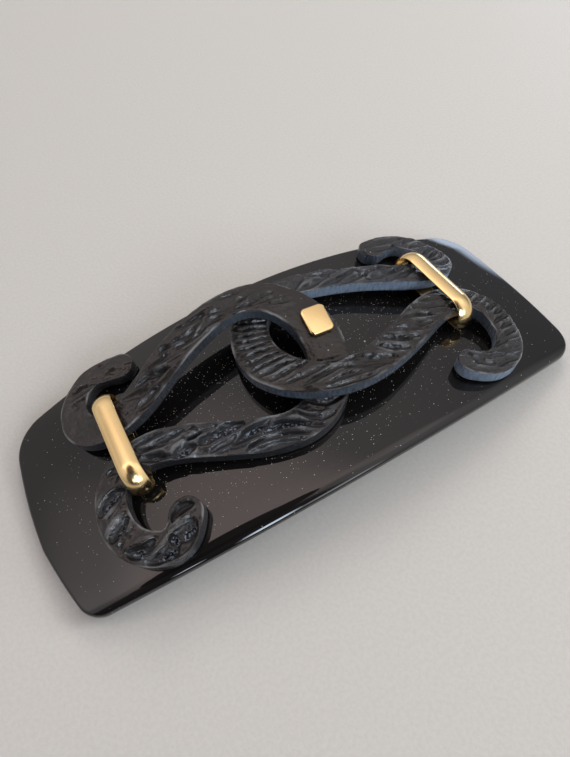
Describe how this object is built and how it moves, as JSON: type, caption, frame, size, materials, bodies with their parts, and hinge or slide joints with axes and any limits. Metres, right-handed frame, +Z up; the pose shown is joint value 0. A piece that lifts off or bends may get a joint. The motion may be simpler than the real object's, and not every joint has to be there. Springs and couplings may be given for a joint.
{
  "type": "hair barrette",
  "caption": "Large arched black hair barrette with interlocked rope-carved loops, gold keepers, a plain gold plaque and a spring clip.",
  "frame": {"origin": "on the surface that the plate's two ends rest on, below the middle of the plate", "axes": "+X along the plate to the end with the lower-set keeper, +Y to the far long side, +Z up through the plate"},
  "size_m": [0.1038, 0.045, 0.0199],
  "materials": {
    "polished_acetate": "polished black acetate",
    "satin_resin": "satin black resin with carved relief",
    "polished_gold": "polished pale gold plating on brass",
    "clip_steel": "plain nickelled spring steel"
  },
  "bodies": {
    "root": {"plate": "polished_acetate", "left_loop": "satin_resin", "right_loop": "satin_resin", "left_keeper": "polished_gold", "right_keeper": "polished_gold", "plaque": "polished_gold", "clip": "clip_steel"}
  },
  "joints": []
}
